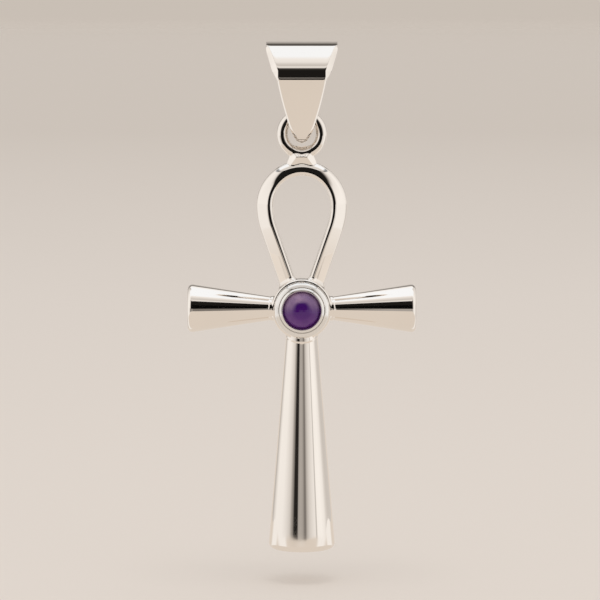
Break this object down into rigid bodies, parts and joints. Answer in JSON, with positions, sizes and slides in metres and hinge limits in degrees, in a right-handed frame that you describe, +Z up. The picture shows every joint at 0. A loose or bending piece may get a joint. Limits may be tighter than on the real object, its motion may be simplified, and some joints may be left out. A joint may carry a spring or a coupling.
{
  "type": "ankh pendant",
  "caption": "Silver ankh pendant with a teardrop loop, flared round arms and stem, a bezel-set violet cabochon and a folded tapered bail.",
  "frame": {"origin": "inside top of the bail's fold, where a chain carries the pendant", "axes": "+Z up along the stem, +X along the arms and along the chain's way through the bail, -Y out of the front, where the stone shows"},
  "size_m": [0.0228, 0.007, 0.0509],
  "materials": {
    "bail_silver": "polished silver, fine wear",
    "ankh_silver": "polished silver, fine wear",
    "violet_stone": "polished violet quartz"
  },
  "bodies": {
    "bail": {"bail": "bail_silver"},
    "drop": {"ankh": "ankh_silver", "stone": "violet_stone"}
  },
  "joints": [
    {"name": "drop_swing", "type": "hinge", "parent": "bail", "child": "drop", "pos_m": [0, 0, -0.00692], "axis": [1, 0, 0], "range_deg": [-45, 45]}
  ]
}
